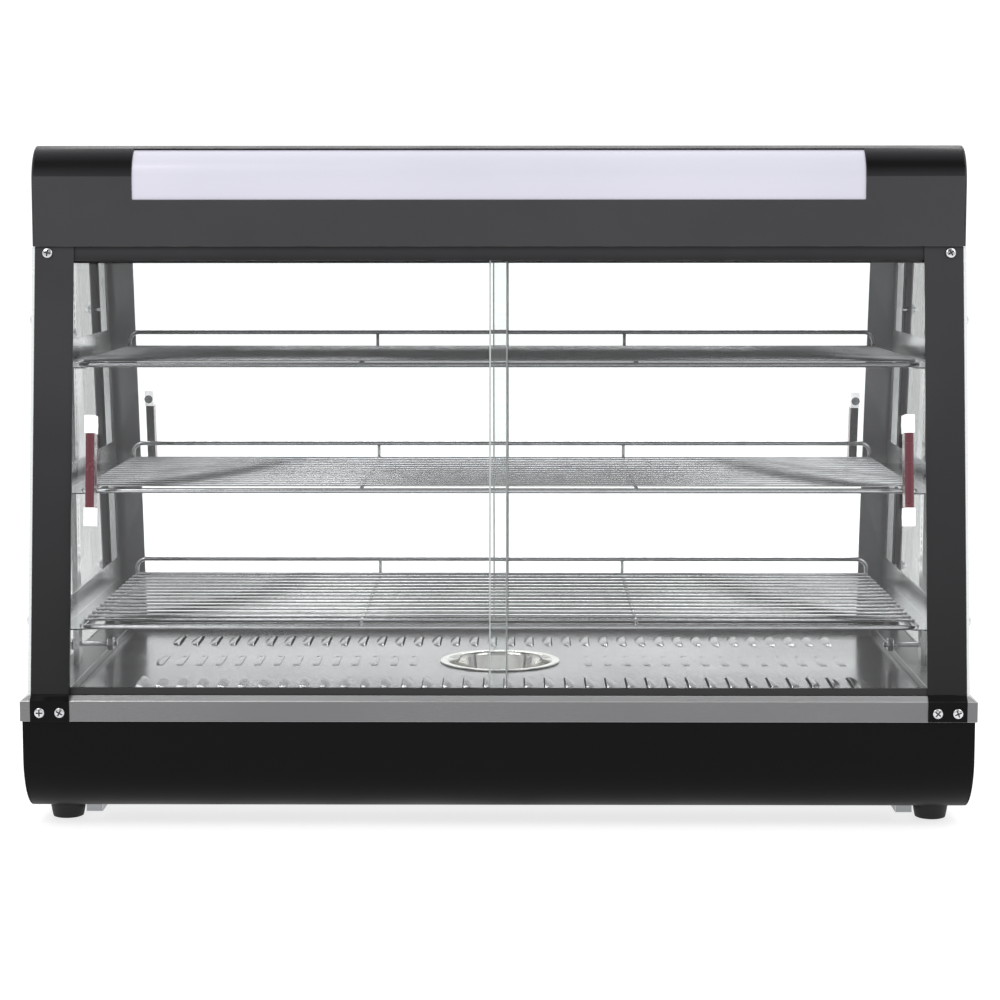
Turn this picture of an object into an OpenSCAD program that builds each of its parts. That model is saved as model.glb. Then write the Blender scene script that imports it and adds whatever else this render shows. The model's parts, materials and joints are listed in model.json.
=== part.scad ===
// Hot food display case: heated base, glazed chamber with three wire shelves, bypass
// sliding doors front and rear, and a lit hood. Millimetres, +Z up, front towards -Y.
// The origin is the middle of the footprint, at the underside of the feet.

/* [Case] */
// Width over the stainless deck
case_w = 905; // [905:1:930]
// Depth over the screw heads on the post feet
case_d = 480; // [440:1:540]
// Height from the table to the top of the hood
case_h = 650; // [600:1:720]
// Thickness of the folded sheet
sheet = 1.2; // [0.8:0.1:1.5]

/* [Base] */
// Height of the rubber feet
foot_h = 15; // [10:1:25]
// Height of the joint between base and deck
base_top = 107; // [100:1:115]
// Radius of the rolled lower front edge
base_roll_r = 58; // [20:1:70]
// Height of the deck's flat top
deck_z = 131.5; // [128:0.5:136]
// Width and height of the sloping deck edge
deck_slope = 5; // [3:0.5:6]

/* [Glazed frame] */
// How far the glazed front and rear lean, as run over rise
lean = 0.155; // [0.1:0.005:0.18]
// Half width over the posts
post_out = 442.5; // [440:0.5:444]
// Width of a front post's face
post_w = 37; // [30:1:45]
// Width of a rear post's face
rear_post_w = 42; // [35:1:45]
// Height of the hood's lower edge
hood_z = 553.5; // [540:0.5:580]
// Thickness of the door glass
glass_t = 5; // [4:0.5:6]

/* [Hood] */
// Half depth of the hood
hood_hd = 168.5; // [165:0.5:175]
// Radius of the hood's rolled edges
hood_r = 35; // [20:1:40]
// Width of the lit sign panel's window
sign_w = 698; // [500:1:720]
// Height of the lit sign panel's lower edge
sign_z = 598; // [590:1:605]

/* [Doors] */
// Overlap of the two doors of a pair
door_lap = 17.5; // [10:0.5:30]
// Distance of a handle from the middle of the case
handle_x = 388; // [380:1:390]
// Length of a handle over its end blocks
handle_len = 105; // [90:1:120]
// Height of the handles' middle
handle_z = 342; // [320:1:360]

/* [Shelves] */
// Height of the bottom shelf's deck
shelf_low = 193; // [185:0.5:200]
// Pitch of the slots in the shelf standards
slot_pitch = 7.62; // [7.5:0.01:8]
// Wires across the depth of a shelf
shelf_wires = 15; // [12:1:18]
// Diameter of the shelf deck wires
wire_d = 3; // [2.5:0.5:4]

/* [Heated floor] */
// Louvres in each row
louvres = 36; // [20:1:37]
// Pitch of the louvres
louvre_pitch = 20.05; // [18:0.05:21.4]
// Outer diameter of the water pan's rim
pan_d = 124; // [100:1:130]

/* [Hidden] */
$fn = 48;
GAP = 0.3;
half_w = case_w/2;
screw_proud = 2;
tab_t = 1.5;
band_hd = case_d/2 - screw_proud - tab_t;
band_top = deck_z - deck_slope;
base_hw = half_w - 2;
base_hd = band_hd - sheet - GAP;
base_in_top = band_top - 0.6;
foot_x = 421;
foot_y = 165;

// the leaning faces: d is measured inwards from the face and s up along it
tilt = atan(lean);
face_y = band_hd - deck_slope;
chamber_h = hood_z - deck_z;

// grooves of the sliding doors, as depths behind the face
pane_out_d = 5;
pane_in_d = 14;
track_d0 = 2;
track_d1 = 22;
pane_hw = post_out - 5;
side_t = 3;
side_x = post_out + 0.1;

hood_hw = post_out + 2;
hood_skin = 1.5;
roll_z = case_h - hood_r;
roll_y = hood_hd - hood_r;
sign_top_a = 64;

floor_top = deck_z - 7.3;
floor_hx = 411.5;
floor_hy = 203.5;
lip = 12;
louvre_len = 60;
louvre_w = 9;
louvre_h = 3.2;
louvre_row_y = 125;

// heights and front and rear ends of the three shelf decks, from the top down
slots_mid = 17;
slots_top = 33;
shelf_z = [shelf_low + slots_top*slot_pitch, shelf_low + slots_mid*slot_pitch, shelf_low];
shelf_y0 = [-156, -156, -181];
shelf_y1 = [156, 169, 183];
shelf_hw = 406;
frame_wire = 5;
frame_drop = 4.5;
guard_h = 14;
guard_wire = 4.6;
cross_wire = 3.5;
cross_x = 134;
deck_inset = 26;

std_x = 425;
std_deep = 6;
std_wide = 18;
std_front_y = -58;
std_rear_d = 25;
rail_x = 423.3;

// controls, in a tray behind the rear panel's window
rec_x0 = -400;
rec_x1 = -130;
rec_z0 = 30;
rec_z1 = 98;
rec_y = 213;
ctl_z = 64;
gauge_x = -365;
knob_x = -300;
lamp_x = -245;
rock1_x = -210;
rock2_x = -165;
rocker_w = 15;
rocker_h = 21;
gland_x = 380;
gland_z = 60;

heat_hx = 399;
heat_hy = 165;
heat_z0 = 42;

BLACK = [0.13, 0.13, 0.14];
STEEL = [0.72, 0.72, 0.74];
CHROME = [0.85, 0.85, 0.87];
GALV = [0.62, 0.64, 0.66];
GLASS = [0.75, 0.88, 0.84, 0.35];
RUBBER = [0.06, 0.06, 0.06];
WHITE = [0.93, 0.93, 0.93];
MAROON = [0.45, 0.08, 0.14];

// ---------- placing helpers ----------

// extrudes a profile drawn as (Y, Z) along X, centred
module along_x(len) {
    rotate([90, 0, 90])
        linear_extrude(len, center = true) children();
}

// puts children drawn in the face frame (x, d, s) on the front face
module on_front() {
    translate([0, -face_y, deck_z])
        rotate([-tilt, 0, 0]) children();
}

module on_rear() {
    mirror([0, 1, 0]) on_front() children();
}

module box(x0, x1, y0, y1, z0, z1) {
    translate([x0, y0, z0]) cube([x1 - x0, y1 - y0, z1 - z0]);
}

module both_sides() {
    children();
    mirror([1, 0, 0]) children();
}

module both_ends() {
    children();
    mirror([0, 1, 0]) children();
}

// trims anything built on a leaning face level with the deck and the hood
module level_cut() {
    intersection() {
        children();
        box(-half_w, half_w, -case_d/2, case_d/2, deck_z, hood_z);
    }
}

// pan head screw, its head standing proud along +Z from the origin
module pan_head(head_d, head_h, shank_d, shank_len) {
    difference() {
        cylinder(d = head_d, h = head_h);
        translate([-head_d*0.35, -0.5, head_h - 0.8]) cube([head_d*0.7, 1, 1]);
        translate([-0.5, -head_d*0.35, head_h - 0.8]) cube([1, head_d*0.7, 1]);
    }
    translate([0, 0, -shank_len]) cylinder(d = shank_d, h = shank_len + 0.2);
}

// straight round wire between two points that share two coordinates
module wire_x(x0, x1, y, z, d) {
    translate([x0, y, z]) rotate([0, 90, 0]) cylinder(d = d, h = x1 - x0, $fn = 24);
}

module wire_y(x, y0, y1, z, d) {
    translate([x, y0, z]) rotate([-90, 0, 0]) cylinder(d = d, h = y1 - y0, $fn = 24);
}

module wire_z(x, y, z0, z1, d) {
    translate([x, y, z0]) cylinder(d = d, h = z1 - z0, $fn = 24);
}

// ---------- base ----------

// outline of the base, inset by t, with its front lower edge rolled
module base_outline(t) {
    r = base_roll_r - t;
    difference() {
        translate([-base_hd + t, foot_h + t])
            square([2*base_hd - 2*t, base_in_top - foot_h - t]);
        translate([-base_hd + t, foot_h + t]) difference() {
            translate([-1, -1]) square(r + 1);
            translate([r, r]) circle(r, $fn = 96);
        }
    }
}

front_return_y = -150;

module base_front_panel() {
    color(BLACK) along_x(2*base_hw - 2*sheet - 2*GAP) {
        difference() {
            base_outline(0);
            base_outline(sheet);
            translate([front_return_y, 0]) square([2*case_d, case_h]);
            translate([-base_hd + sheet, base_in_top - sheet]) square([case_d, case_h]);
        }
        translate([-base_hd + sheet/2, base_in_top - sheet]) square([18, sheet]);
    }
}

module base_end_panels() {
    color(BLACK) both_sides() {
        translate([base_hw - sheet/2, 0, 0]) along_x(sheet) base_outline(0);
    }
}

// bottom plate with two groups of vent slots; its front edge laps over the front panel
module bottom_plate() {
    slots = 9;
    x = base_hw - sheet - 1;
    y = base_hd - sheet - 1;
    color(GALV) difference() {
        union() {
            box(-x, x, front_return_y - 20, y, foot_h + sheet, foot_h + 2*sheet);
            box(-x, x, front_return_y + GAP, y, foot_h, foot_h + sheet + 0.1);
        }
        for (side = [-1, 1], i = [0 : slots - 1])
            translate([side*250 + (i - (slots - 1)/2)*22, 0, foot_h])
                box(-4, 4, -35, 35, -5, 10);
    }
}

// rear panel with the control window, the gland hole and a row of vents
module rear_panel() {
    vents = 8;
    color(BLACK) difference() {
        box(-base_hw + sheet + GAP, base_hw - sheet - GAP, base_hd - sheet, base_hd,
            foot_h + GAP, base_in_top);
        box(rec_x0, rec_x1, base_hd - 5, base_hd + 5, rec_z0, rec_z1);
        translate([gland_x, base_hd - 5, gland_z]) rotate([-90, 0, 0])
            cylinder(d = 16, h = 10);
        for (i = [0 : vents - 1])
            box(60 + 22*i, 72 + 22*i, base_hd - 5, base_hd + 5, 45, 85);
    }
}

// pressed tray behind the panel's window, which carries the controls
module control_tray() {
    back = base_hd - sheet;
    flange = 8;
    color(BLACK) difference() {
        union() {
            box(rec_x0 - sheet, rec_x1 + sheet, rec_y - sheet, back,
                rec_z0 - sheet, rec_z1 + sheet);
            box(rec_x0 - flange, rec_x1 + flange, back - sheet, back,
                rec_z0 - flange, rec_z1 + flange);
        }
        box(rec_x0, rec_x1, rec_y, base_hd, rec_z0, rec_z1);
        translate([gauge_x, rec_y - 5, ctl_z]) rotate([-90, 0, 0]) cylinder(d = 46, h = 10);
        translate([knob_x, rec_y - 5, ctl_z]) rotate([-90, 0, 0]) cylinder(d = 10, h = 10);
        translate([lamp_x, rec_y - 5, ctl_z]) rotate([-90, 0, 0]) cylinder(d = 12, h = 10);
        for (x = [rock1_x, rock2_x])
            box(x - 10, x + 10, rec_y - 5, rec_y + 5, ctl_z - 13, ctl_z + 13);
    }
}

module rubber_feet() {
    color(RUBBER) both_sides() both_ends() translate([foot_x, foot_y, 0]) difference() {
        cylinder(r1 = 15.8, r2 = 17.5, h = foot_h);
        translate([0, 0, -1]) cylinder(d = 11, h = 7);
        cylinder(d = 5.4, h = foot_h + 1);
    }
}

module underside_brackets() {
    color(STEEL) both_sides() both_ends() {
        translate([393, foot_y, 0]) {
            box(-8, 8, -14, 14, foot_h - 2, foot_h);
            box(-8, -6.5, -14, 14, foot_h - 8, foot_h - 2);
            box(6.5, 8, -14, 14, foot_h - 8, foot_h - 2);
            box(-8, 8, 12.5, 14, foot_h - 8, foot_h - 2);
        }
    }
}

module case_screws() {
    top_s = chamber_h/cos(tilt) - 6;
    tab_z = (base_top + band_top)/2 - 1;
    color(CHROME) {
        both_sides() both_ends() {
            translate([foot_x, foot_y, 6]) mirror([0, 0, 1]) pan_head(9, 3, 5, 17);
            for (x = [post_out - 9, post_out - 28])
                translate([x, -band_hd - tab_t, tab_z]) rotate([90, 0, 0])
                    pan_head(9, screw_proud, 4, 8);
        }
        both_sides() {
            on_front() translate([post_out - 12, 0, top_s]) rotate([90, 0, 0])
                pan_head(9, screw_proud, 3.6, 1.9);
            on_rear() translate([post_out - 12, 0, top_s]) rotate([90, 0, 0])
                pan_head(9, screw_proud, 3.6, 1.9);
        }
    }
}

// ---------- deck and floor ----------

// block with a vertical rim and a sloping edge all round, shrunk by t
module deck_block(t) {
    z0 = base_top - 5*t;
    k = t*0.42;
    intersection() {
        along_x(case_w - 2*t) polygon([[-band_hd + t, z0], [-band_hd + t, band_top - k],
            [-band_hd + deck_slope + k, deck_z - t], [band_hd - deck_slope - k, deck_z - t],
            [band_hd - t, band_top - k], [band_hd - t, z0]]);
        rotate([90, 0, 0]) linear_extrude(case_d, center = true)
            polygon([[-half_w + t, z0], [-half_w + t, band_top - k],
                [-half_w + 1.4*deck_slope + k, deck_z - t],
                [half_w - 1.4*deck_slope - k, deck_z - t],
                [half_w - t, band_top - k], [half_w - t, z0]]);
    }
}

module deck_frame() {
    x = floor_hx + 0.5;
    y = floor_hy + 0.5;
    lip_top = floor_top - sheet;
    color(STEEL) union() {
        difference() {
            deck_block(0);
            deck_block(sheet);
            box(-x, x, -y, y, 0, case_h);
        }
        difference() {
            box(-x - sheet, x + sheet, -y - sheet, y + sheet, lip_top - sheet, deck_z - 0.1);
            box(-x, x, -y, y, lip_top, case_h);
            box(-x + lip, x - lip, -y + lip, y - lip, 0, case_h);
        }
    }
}

// one bridge louvre over its slot, open towards +X
module louvre() {
    translate([-louvre_w/2, 0, 0]) rotate([90, 0, 0])
        linear_extrude(louvre_len, center = true)
            polygon([[0, -0.2], [louvre_w, louvre_h - 0.9], [louvre_w, louvre_h],
                [0, 0.8]]);
}

module at_louvres() {
    for (row = [-1, 0, 1], i = [0 : louvres - 1]) {
        x = (i - (louvres - 1)/2)*louvre_pitch;
        if (row != 0 || abs(x) > pan_d/2 + 14)
            translate([x, row*louvre_row_y, floor_top])
                mirror([row < 0 ? 1 : 0, 0, 0]) children();
    }
}

module chamber_floor() {
    color(STEEL) {
        difference() {
            box(-floor_hx, floor_hx, -floor_hy, floor_hy, floor_top - sheet, floor_top);
            at_louvres() box(-louvre_w/2 + 3, louvre_w/2, -louvre_len/2 + 1,
                louvre_len/2 - 1, -5, 5);
            translate([0, 0, floor_top - 5]) cylinder(d = pan_d - 14, h = 10);
        }
        at_louvres() louvre();
    }
}

pan_deep = 36;

module water_pan() {
    r = pan_d/2;
    z = floor_top + GAP;
    color(STEEL) translate([0, 0, z]) rotate_extrude($fn = 96)
        polygon([[0, -pan_deep], [r - 14, -pan_deep], [r - 8.5, 0], [r, 0], [r, 1.6],
            [r - 9.5, 1.6], [r - 14.8, -pan_deep + 1], [0, -pan_deep + 1]]);
}

// open tray under the floor that holds the heating elements
module heat_box() {
    top = floor_top - 2*sheet;
    rim = 11;
    color(GALV) difference() {
        union() {
            box(-heat_hx, heat_hx, -heat_hy, heat_hy, heat_z0, top);
            box(-heat_hx - rim, heat_hx + rim, -heat_hy - rim, heat_hy + rim, top - 1, top);
            for (y = [-1, 1])
                box(-heat_hx, heat_hx, y > 0 ? heat_hy : -floor_hy + 1,
                    y > 0 ? floor_hy - 1 : -heat_hy, top - 1, top);
        }
        box(-heat_hx + 1, heat_hx - 1, -heat_hy + 1, heat_hy - 1, heat_z0 + 1, top + 1);
        for (p = element_ends())
            translate([-heat_hx, p, element_z]) rotate([0, 90, 0])
                cylinder(d = 8.6, h = 6, center = true);
    }
}

element_z = 66;
element_r = 30;
element_d = 8;
element_len = 640;
function element_ends() = [for (y = [-105, 105], e = [-element_r, element_r]) y + e];

module heating_elements() {
    x1 = element_len/2;
    color([0.35, 0.34, 0.33]) for (y = [-105, 105]) translate([0, y, element_z]) {
        for (e = [-element_r, element_r])
            translate([-heat_hx - 22, e, 0]) rotate([0, 90, 0])
                cylinder(d = element_d, h = x1 + heat_hx + 22);
        translate([x1, 0, 0]) rotate([0, 0, -90]) rotate_extrude(angle = 180)
            translate([element_r, 0]) circle(d = element_d);
    }
    // saddles that carry the tubes above the tray
    color(GALV) for (y = [-105, 105], x = [-200, 150])
        box(x - 8, x + 8, y - 40, y + 40, heat_z0 + 1, element_z - element_d/2 + 0.2);
}

block_x = -420;

module terminal_block() {
    color([0.9, 0.88, 0.82]) translate([block_x - 11, -40, foot_h + 2*sheet]) difference() {
        cube([22, 80, 20]);
        for (i = [0 : 5])
            translate([11, 8 + i*12.8, 10]) cylinder(d = 6, h = 12);
    }
}

// mains and switch leads clipped along the base, from the gland to the terminals
module wiring_loom() {
    y = 185;
    z = 26;
    back = base_hd - 20;
    color([0.2, 0.2, 0.22]) union() {
        wire_y(gland_x, y, back, z, 6);
        wire_x(block_x, gland_x, y, z, 6);
        wire_y(block_x, 40, y, z, 6);
        wire_z(gland_x, back, z, gland_z, 6);
        for (p = [[gland_x, y, z], [block_x, y, z], [gland_x, back, z], [gland_x, back, gland_z]])
            translate(p) sphere(d = 6, $fn = 16);
    }
}

// ---------- controls ----------

module thermostat_body() {
    color(GALV) translate([knob_x, rec_y - sheet, ctl_z]) rotate([90, 0, 0]) difference() {
        union() {
            translate([-18, -18, 4]) cube([36, 36, 12]);
            cylinder(d = 9.6, h = 6);
            cylinder(d = 26, h = 4.1);
        }
        translate([0, 0, -1]) cylinder(d = 6.1, h = 12);
    }
}

// sensing bulb clipped under the floor, with its capillary up to the thermostat
module thermostat_bulb() {
    x = knob_x + 25;
    y = heat_hy + 8;
    z = 100;
    color([0.75, 0.48, 0.32]) union() {
        translate([x, y, z]) rotate([0, 90, 0]) cylinder(d = 6, h = 70);
        wire_x(x - 12, x + 1, y, z, 2);
        wire_z(x - 12, y, ctl_z, z, 2);
        wire_y(x - 12, y, rec_y - sheet - 16, ctl_z, 2);
        for (p = [[x - 12, y, z], [x - 12, y, ctl_z]])
            translate(p) sphere(d = 2, $fn = 16);
    }
}

// knob and needle rest at the cold end of their dials, low on the left from behind
dial_rest = -45;

module thermostat_knob() {
    color(RUBBER) translate([knob_x, rec_y, ctl_z]) rotate([-90, 0, 0]) difference() {
        union() {
            translate([0, 0, 1]) cylinder(d = 36, h = 4);
            translate([0, 0, 4]) cylinder(d = 28, h = 16);
            translate([0, 0, -10]) cylinder(d = 6, h = 12);
        }
        for (a = [0 : 30 : 330])
            rotate(a) translate([15.2, 0, 5.5]) cylinder(d = 5, h = 20, $fn = 24);
        rotate(dial_rest) translate([-0.8, 5, 19]) cube([1.6, 9, 2]);
    }
}

module rocker_housings() {
    color(RUBBER) for (x = [rock1_x, rock2_x])
        translate([x, 0, ctl_z]) difference() {
            union() {
                box(-9.8, 9.8, rec_y - 24, rec_y, -12.8, 12.8);
                box(-11.5, 11.5, rec_y, rec_y + 2, -14.5, 14.5);
            }
            box(-8.2, 8.2, rec_y - 12, rec_y + 5, -11.8, 11.8);
            translate([-20, rocker_y, 0]) rotate([0, 90, 0]) cylinder(d = 3.12, h = 40);
        }
}

rocker_y = 207;

// rocker with two flat pressing faces, on trunnions in the housing's side walls
module rocker(x, c) {
    color(c) translate([x, rocker_y, ctl_z]) rotate([90, 0, 90])
        linear_extrude(rocker_w, center = true)
            polygon([[-3, -7], [3, -8.8], [10.6, -8.4], [7.6, 0], [7.4, 8.4], [3, 8.8],
                [-3, 7]]);
    color(c) translate([x - 9.3, rocker_y, ctl_z]) rotate([0, 90, 0]) cylinder(d = 3, h = 18.6);
}

module heat_rocker() rocker(rock1_x, [0.75, 0.12, 0.1]);

module light_rocker() rocker(rock2_x, [0.12, 0.5, 0.2]);

module indicator_lamp() {
    color([0.9, 0.45, 0.1]) translate([lamp_x, rec_y, ctl_z]) rotate([-90, 0, 0]) {
        translate([0, 0, -20]) cylinder(d = 11.6, h = 20);
        cylinder(d = 15, h = 2);
        difference() {
            translate([0, 0, 2]) sphere(d = 11);
            translate([0, 0, -10]) cylinder(d = 20, h = 11.9);
        }
    }
}

module thermometer_case() {
    color(CHROME) translate([gauge_x, rec_y, ctl_z]) rotate([-90, 0, 0]) difference() {
        union() {
            translate([0, 0, -14]) cylinder(d = 45.6, h = 14.1, $fn = 96);
            cylinder(d = 54, h = 5, $fn = 96);
        }
        translate([0, 0, -5]) cylinder(d = 42, h = 12, $fn = 96);
    }
    color(WHITE) translate([gauge_x, rec_y - 5, ctl_z]) rotate([-90, 0, 0]) difference() {
        cylinder(d = 5, h = 1);
        translate([0, 0, -1]) cylinder(d = 2.1, h = 4);
    }
}

module thermometer_needle() {
    color([0.8, 0.1, 0.1]) translate([gauge_x, rec_y - 5, ctl_z]) rotate([-90, 0, 0])
    rotate(dial_rest) {
        translate([0, 0, 0.3]) cylinder(d = 2, h = 2.5);
        translate([0, 0, 1.4]) cylinder(d = 6, h = 0.8);
        translate([0, 0, 1.4]) linear_extrude(0.8)
            polygon([[-1.2, -6], [1.2, -6], [0.3, 17], [-0.3, 17]]);
    }
}

module thermometer_lens() {
    color(GLASS) translate([gauge_x, rec_y + 2, ctl_z]) rotate([-90, 0, 0])
        cylinder(d = 41.6, h = 2, $fn = 96);
}

module cable_gland() {
    color(RUBBER) translate([gland_x, 0, gland_z]) rotate([-90, 0, 0]) difference() {
        union() {
            translate([0, 0, base_hd - sheet - 14]) cylinder(d = 15.6, h = 19 - 2.2);
            translate([0, 0, base_hd - sheet - 6]) cylinder(d = 22, h = 6, $fn = 6);
            translate([0, 0, base_hd]) cylinder(d = 22, h = 3, $fn = 6);
        }
        translate([0, 0, base_hd - 30]) cylinder(d = 8.4, h = 40);
    }
}

// ---------- glazed frame ----------

// folded post with a foot that laps over the deck edge
module post(w) {
    color(BLACK) level_cut() on_front() {
        box(post_out - w, post_out, 0, tab_t, -10, chamber_h*1.05);
        box(post_out - tab_t, post_out, 0, 37, -10, chamber_h*1.05);
    }
    color(BLACK) translate([post_out - w/2, 0, 0]) along_x(w)
        polygon([[-face_y, deck_z], [-band_hd, band_top], [-band_hd, base_top + 0.5],
            [-band_hd - tab_t, base_top + 0.5], [-band_hd - tab_t, band_top + 0.6],
            [-face_y - 0.6, deck_z + 0.9], [-face_y + tab_t, deck_z + 0.9],
            [-face_y + tab_t, deck_z]]);
}

module front_post_right() post(post_w);

module front_post_left() mirror([1, 0, 0]) post(post_w);

module rear_post_right() mirror([0, 1, 0]) post(rear_post_w);

module rear_post_left() mirror([1, 0, 0]) mirror([0, 1, 0]) post(rear_post_w);

track_hw = post_out - tab_t - 0.5;
rail_deep = 13;

// rail with two grooves, drawn as (d, s); up is the side the grooves open to
module head_rail() {
    top = chamber_h/cos(tilt) + 8;
    s0 = chamber_h/cos(tilt) - rail_deep;
    color(BLACK) level_cut() on_front() difference() {
        box(-track_hw, track_hw, track_d0, track_d1, s0, top);
        box(-track_hw - 1, track_hw + 1, pane_out_d - 1.5, pane_out_d + glass_t + 1.5,
            s0 - 1, top - 8 - 1);
        box(-track_hw - 1, track_hw + 1, pane_in_d - 1.5, pane_in_d + glass_t + 1.5,
            s0 - 1, top - 8 + 0.5);
    }
}

module lower_track() {
    color([0.2, 0.2, 0.21]) level_cut() on_front() difference() {
        box(-track_hw, track_hw, track_d0, track_d1, -2, 7);
        box(-track_hw - 1, track_hw + 1, pane_out_d - 0.7, pane_out_d + glass_t + 0.7,
            pane_s0 - 0.5, 20);
        box(-track_hw - 1, track_hw + 1, pane_in_d - 0.7, pane_in_d + glass_t + 0.7,
            pane_s0 + 0.9, 20);
    }
}

module front_head_rail() head_rail();

module rear_head_rail() mirror([0, 1, 0]) head_rail();

module front_lower_track() lower_track();

module rear_lower_track() mirror([0, 1, 0]) lower_track();

module side_glass() {
    z0 = deck_z;
    z1 = hood_z - 0.5;
    top = face_y - lean*(z1 - z0);
    color(GLASS) translate([side_x + side_t/2, 0, 0]) along_x(side_t)
        difference() {
            polygon([[-face_y, z0], [face_y, z0], [top, z1], [-top, z1]]);
            for (p = side_points())
                translate(p) circle(d = 7);
        }
}

module side_glass_right() side_glass();

module side_glass_left() mirror([1, 0, 0]) side_glass();

// side fixings, as (Y, Z): four at the posts and one low in the middle
side_low = 198;
side_high = 483;
function face_at(z) = face_y - lean*(z - deck_z);
function side_points() = concat([for (z = [side_low, side_high], e = [-1, 1])
    [e*(face_at(z) - 22), z]], [[0, 142]]);

module side_fixings() {
    color(CHROME) both_sides() for (p = side_points()) {
        inner = p[0] == 0 ? 397 : post_out - 8;
        translate([side_x + side_t, p[0], p[1]]) rotate([0, 90, 0]) {
            cylinder(d = 13, h = 2.5);
            translate([0, 0, 2.4]) cylinder(r1 = 5, r2 = 3.5, h = 3);
        }
        translate([inner, p[0], p[1]]) rotate([0, 90, 0])
            cylinder(d = 5, h = side_x + side_t + 1 - inner);
        if (p[0] == 0) translate([inner + 4, 0, p[1]]) rotate([0, 90, 0])
            cylinder(d = 13, h = 6, $fn = 6);
    }
}

// ---------- hood ----------

module hood_outline(t) {
    r = hood_r - t;
    translate([-hood_hd + t, hood_z]) square([2*(hood_hd - t), roll_z - hood_z]);
    translate([-roll_y, hood_z]) square([2*roll_y, case_h - t - hood_z]);
    for (e = [-1, 1])
        translate([e*roll_y, roll_z]) circle(r, $fn = 96);
}

// the part of the front skin between a height and an angle up the rolled edge
module sign_zone(z, a) {
    translate([-roll_y, roll_z])
        polygon([[0, 0], [0, z - roll_z], [-2*hood_r, z - roll_z], [-2*hood_r, 0],
            [-2*hood_r, 2*hood_r], [-2*hood_r*cos(a), 2*hood_r*sin(a)]]);
}

module hood_shell() {
    inner_w = 2*hood_hw - 2*hood_skin;
    color(BLACK) difference() {
        along_x(inner_w) {
            difference() {
                hood_outline(0);
                hood_outline(hood_skin);
            }
            for (e = [-1, 1])
                translate([e*(hood_hd - 11) - 11, hood_z]) square([22, hood_skin]);
        }
        along_x(sign_w) sign_zone(sign_z, sign_top_a);
    }
}

module hood_ends() {
    color(BLACK) both_sides() translate([hood_hw - hood_skin/2, 0, 0]) along_x(hood_skin)
        hood_outline(0);
}

module ceiling_panel() {
    z = hood_z + hood_skin;
    hx = hood_hw - hood_skin - 1;
    hy = hood_hd - hood_skin - 1;
    color(STEEL) difference() {
        box(-hx, hx, -hy, hy, z, z + sheet);
        for (x = [-3 : 3])
            box(x*100 - 30, x*100 + 30, 60, 66, z - 1, z + 5);
    }
}

module light_panel() {
    color([0.88, 0.87, 0.92]) along_x(sign_w + 16) intersection() {
        difference() {
            hood_outline(hood_skin + 0.05);
            hood_outline(hood_skin + 3.05);
        }
        sign_zone(sign_z - 9, sign_top_a + 9);
    }
}

lamp_y = -95;
lamp_z = 606;
lamp_len = 600;

module lamp_tube() {
    color(WHITE) translate([0, lamp_y, lamp_z]) rotate([0, 90, 0]) {
        cylinder(d = 16, h = lamp_len, center = true);
        cylinder(d = 3, h = lamp_len + 14, center = true);
    }
}

module lamp_holders() {
    z = hood_z + hood_skin + sheet;
    x0 = lamp_len/2 + 0.5;
    color(WHITE) both_sides() difference() {
        union() {
            box(x0, x0 + 14, lamp_y - 11, lamp_y + 11, z + 1.4, lamp_z + 13);
            box(x0 - 4, x0 + 40, lamp_y - 14, lamp_y + 14, z, z + 1.5);
        }
        translate([x0 - 1, lamp_y, lamp_z]) rotate([0, 90, 0]) cylinder(d = 3.4, h = 9);
    }
}

// ---------- shelves ----------

// slotted channel for the right side, its web towards the middle, drawn from s = 0
module standard(len, slot0, pitch) {
    count = floor((len - slot0 - 40)/pitch);
    difference() {
        box(0, std_deep, -std_wide/2, std_wide/2, 0, len);
        box(1, std_deep + 1, -std_wide/2 + 1, std_wide/2 - 1, -1, len + 1);
        for (i = [0 : count])
            box(-1, 3, -1.6, 1.6, slot0 + i*pitch, slot0 + i*pitch + 5);
    }
}

// the fifth slot up carries the bottom shelf
first_slot = shelf_low - deck_z - 0.5 - 5*slot_pitch;
std_rear_mid = std_rear_d + std_wide/2;
below = 10;

// upright standards towards the front, leaning ones along the rear
module shelf_standards() {
    rear_slot = (first_slot + std_rear_mid*sin(tilt))/cos(tilt);
    color(STEEL) both_sides() {
        translate([std_x, std_front_y, deck_z])
            standard(chamber_h + hood_skin, first_slot, slot_pitch);
        level_cut() on_rear() translate([std_x, std_rear_mid, -below])
            standard(chamber_h*1.05 + below, rear_slot + below, slot_pitch/cos(tilt));
    }
}

rail_below = frame_drop + frame_wire/2 + GAP;
rail_rise = 17;
ledge_w = 26;

// angle that carries one end of a shelf, hooked into both standards
module shelf_rail(i) {
    z = shelf_z[i];
    ledge = z - rail_below;
    y0 = shelf_y0[i] + 8;
    y1 = face_at(z) - std_rear_d - 4;
    hooks = [std_front_y, face_at(z) - std_rear_mid/cos(tilt)];
    translate([rail_x, 0, 0]) {
        box(0, sheet, y0, y1, ledge - sheet, z + rail_rise);
        box(-ledge_w, sheet/2, y0, min(y1, shelf_y1[i] - 2), ledge - sheet, ledge);
        for (y = hooks)
            box(sheet/2, 4.2, y - 0.8, y + 0.8, z - 0.5, z + 2.5);
    }
}

module shelf_rails() {
    color(STEEL) both_sides() for (i = [0 : 2]) shelf_rail(i);
}

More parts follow.
